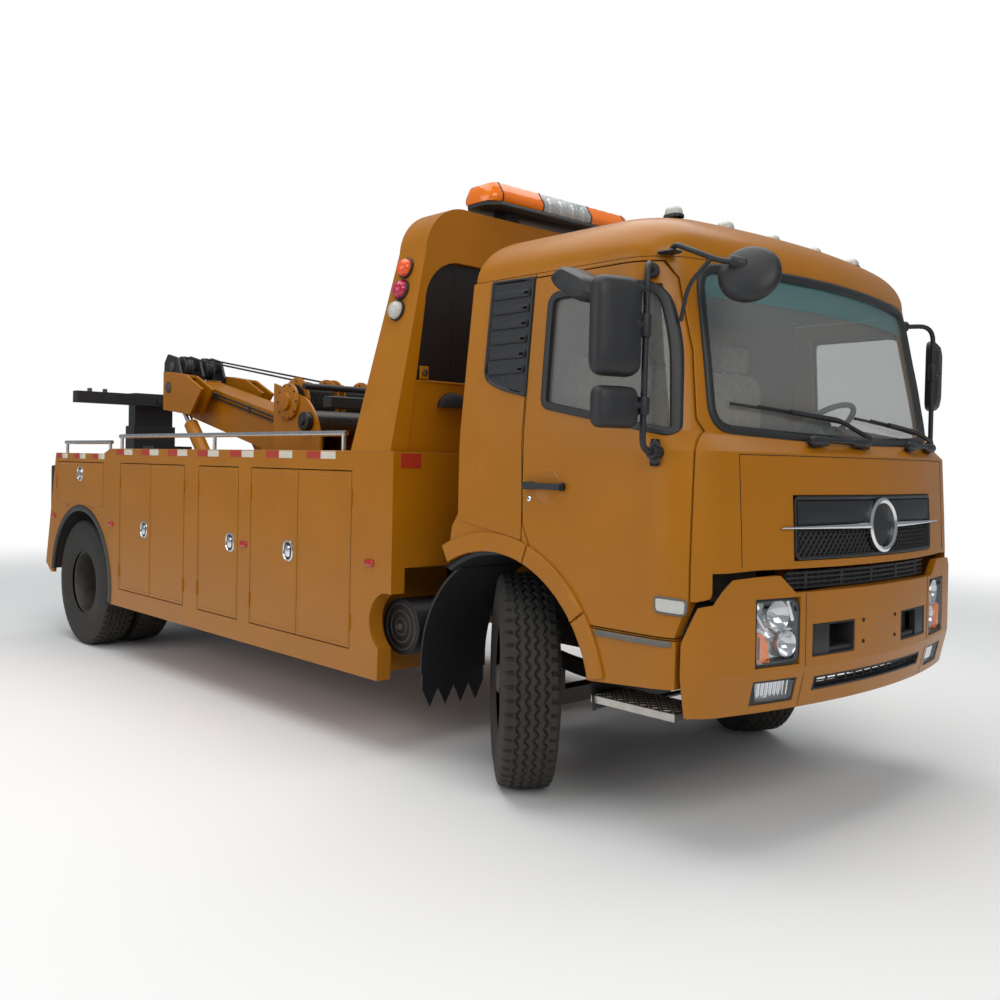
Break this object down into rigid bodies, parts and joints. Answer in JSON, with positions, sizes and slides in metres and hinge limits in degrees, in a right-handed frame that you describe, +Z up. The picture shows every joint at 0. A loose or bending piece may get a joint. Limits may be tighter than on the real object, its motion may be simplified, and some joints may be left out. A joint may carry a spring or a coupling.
{
  "type": "tow truck",
  "caption": "Cab-over two-axle tow truck: tilting cab, locker body with hinged doors, light tower, recovery boom with lift cylinders, and folding underlift.",
  "frame": {"origin": "on the ground, below the middle of the truck's length and width", "axes": "+X forward, +Y to the truck's left, +Z up"},
  "size_m": [7.88, 3.06, 3.1948],
  "materials": {
    "amber": "gloss",
    "chassis_black": "satin",
    "cloth_grey": "matte",
    "glass": "clear",
    "lens": "gloss",
    "paint": "satin",
    "plastic_black": "matte",
    "rail_steel": "satin",
    "rod_chrome": "polished",
    "rope_steel": "satin",
    "trim_grey": "matte",
    "tyre": "matte",
    "wheel_steel": "satin"
  },
  "bodies": {
    "root": {"chassis_frame": "chassis_black", "front_axle": "chassis_black", "rear_axle": "chassis_black", "engine": "wheel_steel", "side_units": "plastic_black", "mudguards": "plastic_black", "locker_body_left": "paint", "locker_body_right": "paint", "deck": "paint", "light_tower": "paint", "light_bar": "amber", "hand_rails": "rail_steel", "front_bumper": "paint", "bumper_inserts": "lens", "boom_stand": "paint", "mast": "chassis_black"},
    "cab": {"cab_shell": "paint", "cab_roof": "paint", "cab_front": "paint", "windscreen": "glass", "front_grille": "plastic_black", "front_mirror": "plastic_black", "seats": "cloth_grey", "dashboard": "trim_grey"},
    "door_left": {"cab_door_left": "paint", "door_glass_left": "glass", "door_mirror_left": "plastic_black"},
    "steer_left": {"knuckle_left": "chassis_black"},
    "front_wheel_left": {"front_tyre_left": "tyre", "front_rim_left": "wheel_steel"},
    "rear_wheels_left": {"rear_tyres_left": "tyre", "rear_rims_left": "wheel_steel"},
    "locker_a_left": {"locker_door_a_left": "paint"},
    "locker_b_left": {"locker_door_b_left": "paint"},
    "locker_c_left": {"locker_door_c_left": "paint"},
    "locker_d_left": {"locker_door_d_left": "paint"},
    "locker_e_left": {"locker_door_e_left": "paint"},
    "flap_left": {"locker_flap_left": "paint"},
    "door_right": {"cab_door_right": "paint", "door_glass_right": "glass", "door_mirror_right": "plastic_black"},
    "steer_right": {"knuckle_right": "chassis_black"},
    "front_wheel_right": {"front_tyre_right": "tyre", "front_rim_right": "wheel_steel"},
    "rear_wheels_right": {"rear_tyres_right": "tyre", "rear_rims_right": "wheel_steel"},
    "locker_a_right": {"locker_door_a_right": "paint"},
    "locker_b_right": {"locker_door_b_right": "paint"},
    "locker_c_right": {"locker_door_c_right": "paint"},
    "locker_d_right": {"locker_door_d_right": "paint"},
    "locker_e_right": {"locker_door_e_right": "paint"},
    "flap_right": {"locker_flap_right": "paint"},
    "boom": {"boom": "paint", "winches": "rope_steel"},
    "boom_tip": {"boom_tip": "chassis_black"},
    "lift_barrels": {"lift_barrels": "paint"},
    "lift_rods": {"lift_rods": "rod_chrome"},
    "lift_arm": {"lift_arm": "chassis_black"},
    "arm_slide": {"arm_slide": "chassis_black"},
    "crossbar": {"crossbar": "chassis_black"}
  },
  "joints": [
    {"name": "cab_tilt", "type": "hinge", "parent": "root", "child": "cab", "pos_m": [3.822, 0, 1], "axis": [0, 1, 0], "range_deg": [0, 45]},
    {"name": "cab_door_left", "type": "hinge", "parent": "cab", "child": "door_left", "pos_m": [3.7, 1.15, 1.6], "axis": [0, 0, -1], "range_deg": [0, 70]},
    {"name": "steer_left", "type": "hinge", "parent": "root", "child": "steer_left", "pos_m": [2.59, 0.865, 0.525], "axis": [0, 0, 1], "range_deg": [0, 74]},
    {"name": "front_wheel_left", "type": "hinge", "parent": "steer_left", "child": "front_wheel_left", "pos_m": [2.59, 0.865, 0.525], "axis": [0.5299, 0.848, 0], "continuous": true},
    {"name": "rear_wheels_left", "type": "hinge", "parent": "root", "child": "rear_wheels_left", "pos_m": [-2.41, 0.934, 0.525], "axis": [0, 1, 0], "continuous": true},
    {"name": "locker_a_left", "type": "hinge", "parent": "root", "child": "locker_a_left", "pos_m": [-1.608, 1.25, 1.0465], "axis": [0, 0, 1], "range_deg": [0, 90]},
    {"name": "locker_b_left", "type": "hinge", "parent": "root", "child": "locker_b_left", "pos_m": [-0.514, 1.25, 1.0465], "axis": [0, 0, -1], "range_deg": [0, 90]},
    {"name": "locker_c_left", "type": "hinge", "parent": "root", "child": "locker_c_left", "pos_m": [-0.3, 1.25, 1.0465], "axis": [0, 0, 1], "range_deg": [0, 90]},
    {"name": "locker_d_left", "type": "hinge", "parent": "root", "child": "locker_d_left", "pos_m": [0.41, 1.25, 1.0465], "axis": [0, 0, 1], "range_deg": [0, 90]},
    {"name": "locker_e_left", "type": "hinge", "parent": "root", "child": "locker_e_left", "pos_m": [1.508, 1.25, 1.0465], "axis": [0, 0, -1], "range_deg": [0, 90]},
    {"name": "flap_left", "type": "hinge", "parent": "root", "child": "flap_left", "pos_m": [-2.445, 1.25, 1.18], "axis": [-1, 0, 0], "range_deg": [0, 90]},
    {"name": "cab_door_right", "type": "hinge", "parent": "cab", "child": "door_right", "pos_m": [3.7, -1.15, 1.6], "axis": [0, 0, 1], "range_deg": [0, 70]},
    {"name": "steer_right", "type": "hinge", "parent": "root", "child": "steer_right", "pos_m": [2.59, -0.865, 0.525], "axis": [0, 0, 1], "range_deg": [0, 74]},
    {"name": "front_wheel_right", "type": "hinge", "parent": "steer_right", "child": "front_wheel_right", "pos_m": [2.59, -0.865, 0.525], "axis": [0.6428, 0.766, 0], "continuous": true},
    {"name": "rear_wheels_right", "type": "hinge", "parent": "root", "child": "rear_wheels_right", "pos_m": [-2.41, -0.934, 0.525], "axis": [0, 1, 0], "continuous": true},
    {"name": "locker_a_right", "type": "hinge", "parent": "root", "child": "locker_a_right", "pos_m": [-1.608, -1.25, 1.0465], "axis": [0, 0, -1], "range_deg": [0, 90]},
    {"name": "locker_b_right", "type": "hinge", "parent": "root", "child": "locker_b_right", "pos_m": [-0.514, -1.25, 1.0465], "axis": [0, 0, 1], "range_deg": [0, 90]},
    {"name": "locker_c_right", "type": "hinge", "parent": "root", "child": "locker_c_right", "pos_m": [-0.3, -1.25, 1.0465], "axis": [0, 0, -1], "range_deg": [0, 90]},
    {"name": "locker_d_right", "type": "hinge", "parent": "root", "child": "locker_d_right", "pos_m": [0.41, -1.25, 1.0465], "axis": [0, 0, -1], "range_deg": [0, 90]},
    {"name": "locker_e_right", "type": "hinge", "parent": "root", "child": "locker_e_right", "pos_m": [1.508, -1.25, 1.0465], "axis": [0, 0, 1], "range_deg": [0, 90]},
    {"name": "flap_right", "type": "hinge", "parent": "root", "child": "flap_right", "pos_m": [-2.445, -1.25, 1.18], "axis": [1, 0, 0], "range_deg": [0, 90]},
    {"name": "boom_luff", "type": "hinge", "parent": "root", "child": "boom", "pos_m": [-0.26, 0, 1.4], "axis": [0, 1, 0], "range_deg": [0, 25]},
    {"name": "boom_slide", "type": "slide", "parent": "boom", "child": "boom_tip", "axis": [-0.9763, 0, 0.2164], "range_m": [0, 0.8]},
    {"name": "lift_cylinders", "type": "hinge", "parent": "root", "child": "lift_barrels", "pos_m": [-1.71, 0, 1.26], "axis": [0, 1, 0], "range_deg": [-1, 34.3]},
    {"name": "lift_rods", "type": "slide", "parent": "lift_barrels", "child": "lift_rods", "axis": [-0.6997, 0, 0.7144], "range_m": [-0.005, 0.5902]},
    {"name": "arm_fold", "type": "hinge", "parent": "root", "child": "lift_arm", "pos_m": [-3.67, 0, 0.52], "axis": [0, -1, 0], "range_deg": [0, 90]},
    {"name": "arm_slide", "type": "slide", "parent": "lift_arm", "child": "arm_slide", "axis": [0, 0, 1], "range_m": [0, 0.7]},
    {"name": "crossbar_swivel", "type": "hinge", "parent": "arm_slide", "child": "crossbar", "pos_m": [-3.655, 0, 2.155], "axis": [1, 0, 0], "range_deg": [-30, 30]}
  ],
  "couplings": [
    {"joint": "steer_left", "follows": "steer_right", "ratio": 1},
    {"joint": "lift_cylinders", "follows": "boom_luff", "ratio": 1.3318},
    {"joint": "lift_rods", "follows": "boom_luff", "m_per_rad": 1.3412}
  ]
}
